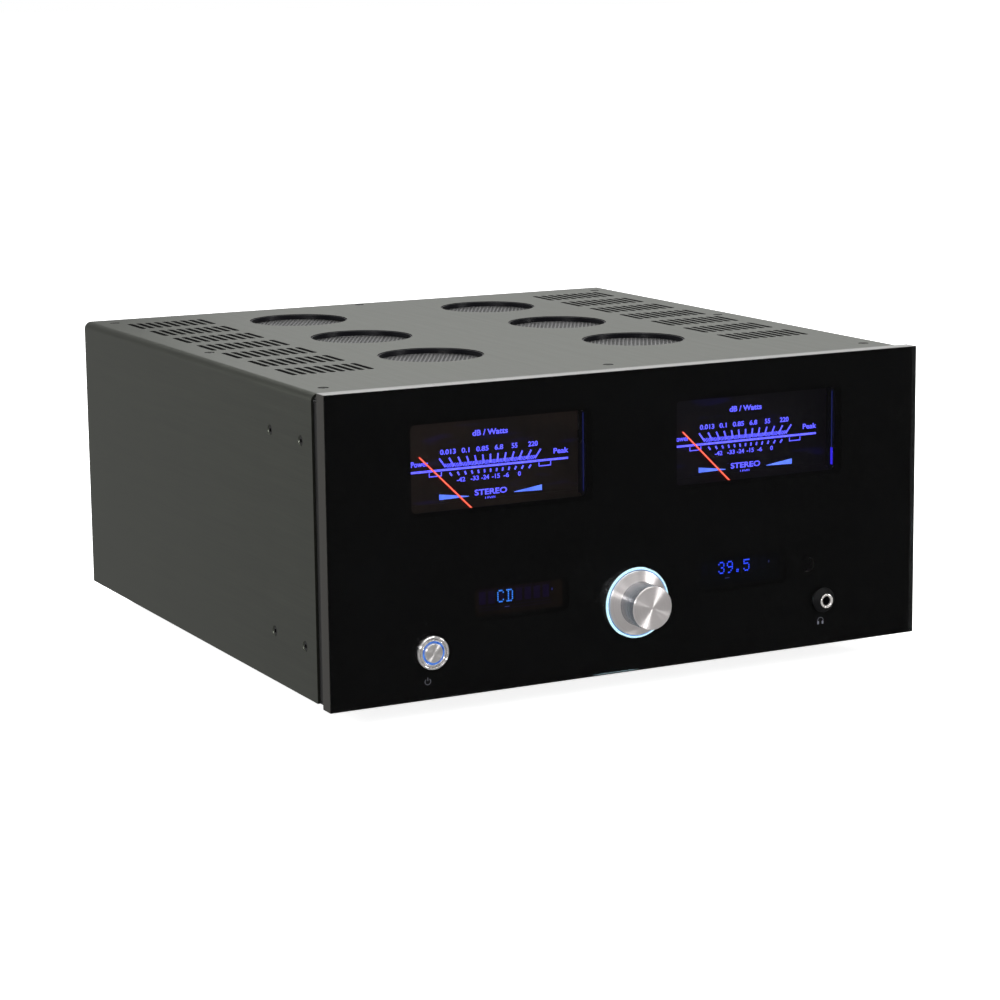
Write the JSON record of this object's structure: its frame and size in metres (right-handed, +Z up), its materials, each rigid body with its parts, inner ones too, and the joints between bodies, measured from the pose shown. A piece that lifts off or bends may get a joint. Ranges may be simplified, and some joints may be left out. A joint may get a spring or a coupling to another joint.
{
  "type": "integrated amplifier",
  "caption": "Stereo hi-fi amplifier with a folded metal cover, black glass fascia, moving-needle meters, central volume knob and rear sockets.",
  "frame": {"origin": "on the ground, under the middle of the bounding box", "axes": "+Z up; the fascia faces -Y; +X is to the right of someone facing the fascia"},
  "size_m": [0.43, 0.469, 0.2103],
  "materials": {
    "dark_anodised_cover": "brushed, dark anodised",
    "fascia_aluminium": "satin anodised",
    "spun_aluminium": "spun, bright",
    "black_glass": "polished",
    "black_painted_steel": "matte",
    "perforated_steel": "satin",
    "black_plastic": "satin",
    "display_face": "satin",
    "light_guide": "glowing",
    "power_light": "glowing",
    "plated_steel": "polished",
    "meter_dial": "satin, printed",
    "needle_orange": "glowing",
    "raw_aluminium": "extruded",
    "transformer_winding": "glossy tape",
    "circuit_board": "satin",
    "capacitor_sleeve": "satin sleeve",
    "foot_rubber": "matte",
    "terminal_caps": "knurled"
  },
  "bodies": {
    "chassis": {"base_pan": "black_painted_steel", "control_board": "circuit_board", "digital_socket_block": "black_plastic", "display_left": "display_face", "display_right": "display_face", "encoder_body": "black_plastic", "fascia_plate": "fascia_aluminium", "filter_capacitor_1": "capacitor_sleeve", "filter_capacitor_2": "capacitor_sleeve", "filter_capacitor_3": "capacitor_sleeve", "filter_capacitor_4": "capacitor_sleeve", "foot_front_left": "foot_rubber", "foot_front_right": "foot_rubber", "foot_rear_left": "foot_rubber", "foot_rear_right": "foot_rubber", "front_glass": "black_glass", "front_subframe": "black_painted_steel", "headphone_collar": "black_plastic", "headphone_socket": "plated_steel", "heatsink_left": "raw_aluminium", "heatsink_right": "raw_aluminium", "input_board": "circuit_board", "ir_receiver": "black_plastic", "knob_light_ring": "light_guide", "mains_inlet": "black_plastic", "mains_switch_frame": "black_plastic", "meter_dial_left": "meter_dial", "meter_dial_right": "meter_dial", "meter_housing_left": "black_plastic", "meter_housing_right": "black_plastic", "meter_movement_left": "plated_steel", "meter_movement_right": "plated_steel", "phono_socket_block": "black_plastic", "power_button_bezel": "spun_aluminium", "power_light_ring": "power_light", "power_supply_board": "circuit_board", "power_switch_body": "black_plastic", "rear_panel": "black_painted_steel", "speaker_terminal_plate": "black_plastic", "top_cover": "dark_anodised_cover", "toroidal_transformer": "transformer_winding", "transformer_clamp": "plated_steel", "vent_grille_1": "perforated_steel", "vent_grille_2": "perforated_steel", "vent_grille_3": "perforated_steel", "vent_grille_4": "perforated_steel", "vent_grille_5": "perforated_steel", "vent_grille_6": "perforated_steel", "xlr_socket_block": "plated_steel"},
    "volume_control": {"volume_knob": "spun_aluminium", "encoder_shaft": "plated_steel"},
    "power_button": {"power_button_cap": "spun_aluminium"},
    "left_meter_needle": {"meter_needle_left": "needle_orange"},
    "right_meter_needle": {"meter_needle_right": "needle_orange"},
    "mains_switch_rocker": {"mains_rocker": "black_plastic"},
    "speaker_screw_1": {"speaker_cap_1": "terminal_caps"},
    "speaker_screw_2": {"speaker_cap_2": "terminal_caps"},
    "speaker_screw_3": {"speaker_cap_3": "terminal_caps"},
    "speaker_screw_4": {"speaker_cap_4": "terminal_caps"}
  },
  "joints": [
    {"name": "volume_turn", "type": "hinge", "parent": "chassis", "child": "volume_control", "pos_m": [0, -0.215, 0.0596], "axis": [0, 1, 0], "continuous": true},
    {"name": "power_press", "type": "slide", "parent": "chassis", "child": "power_button", "axis": [0, 1, 0], "range_m": [0, 0.0012], "stiffness_N_per_m": 600, "springref_m": -0.001},
    {"name": "left_needle_swing", "type": "hinge", "parent": "chassis", "child": "left_meter_needle", "pos_m": [-0.0941, -0.198, 0.114], "axis": [0, 1, 0], "range_deg": [0, 88], "stiffness_Nm_per_rad": 0.02},
    {"name": "right_needle_swing", "type": "hinge", "parent": "chassis", "child": "right_meter_needle", "pos_m": [0.0941, -0.198, 0.114], "axis": [0, 1, 0], "range_deg": [0, 88], "stiffness_Nm_per_rad": 0.02},
    {"name": "mains_rocker_tilt", "type": "hinge", "parent": "chassis", "child": "mains_switch_rocker", "pos_m": [-0.168, 0.2123, 0.097], "axis": [1, 0, 0], "range_deg": [0, 16]},
    {"name": "speaker_screw_1_turn", "type": "hinge", "parent": "chassis", "child": "speaker_screw_1", "pos_m": [-0.066, 0.2196, 0.055], "axis": [0, 1, 0], "range_deg": [0, 900]},
    {"name": "speaker_screw_2_turn", "type": "hinge", "parent": "chassis", "child": "speaker_screw_2", "pos_m": [-0.04, 0.2196, 0.055], "axis": [0, 1, 0], "range_deg": [0, 900]},
    {"name": "speaker_screw_3_turn", "type": "hinge", "parent": "chassis", "child": "speaker_screw_3", "pos_m": [0.04, 0.2196, 0.055], "axis": [0, 1, 0], "range_deg": [0, 900]},
    {"name": "speaker_screw_4_turn", "type": "hinge", "parent": "chassis", "child": "speaker_screw_4", "pos_m": [0.066, 0.2196, 0.055], "axis": [0, 1, 0], "range_deg": [0, 900]}
  ]
}
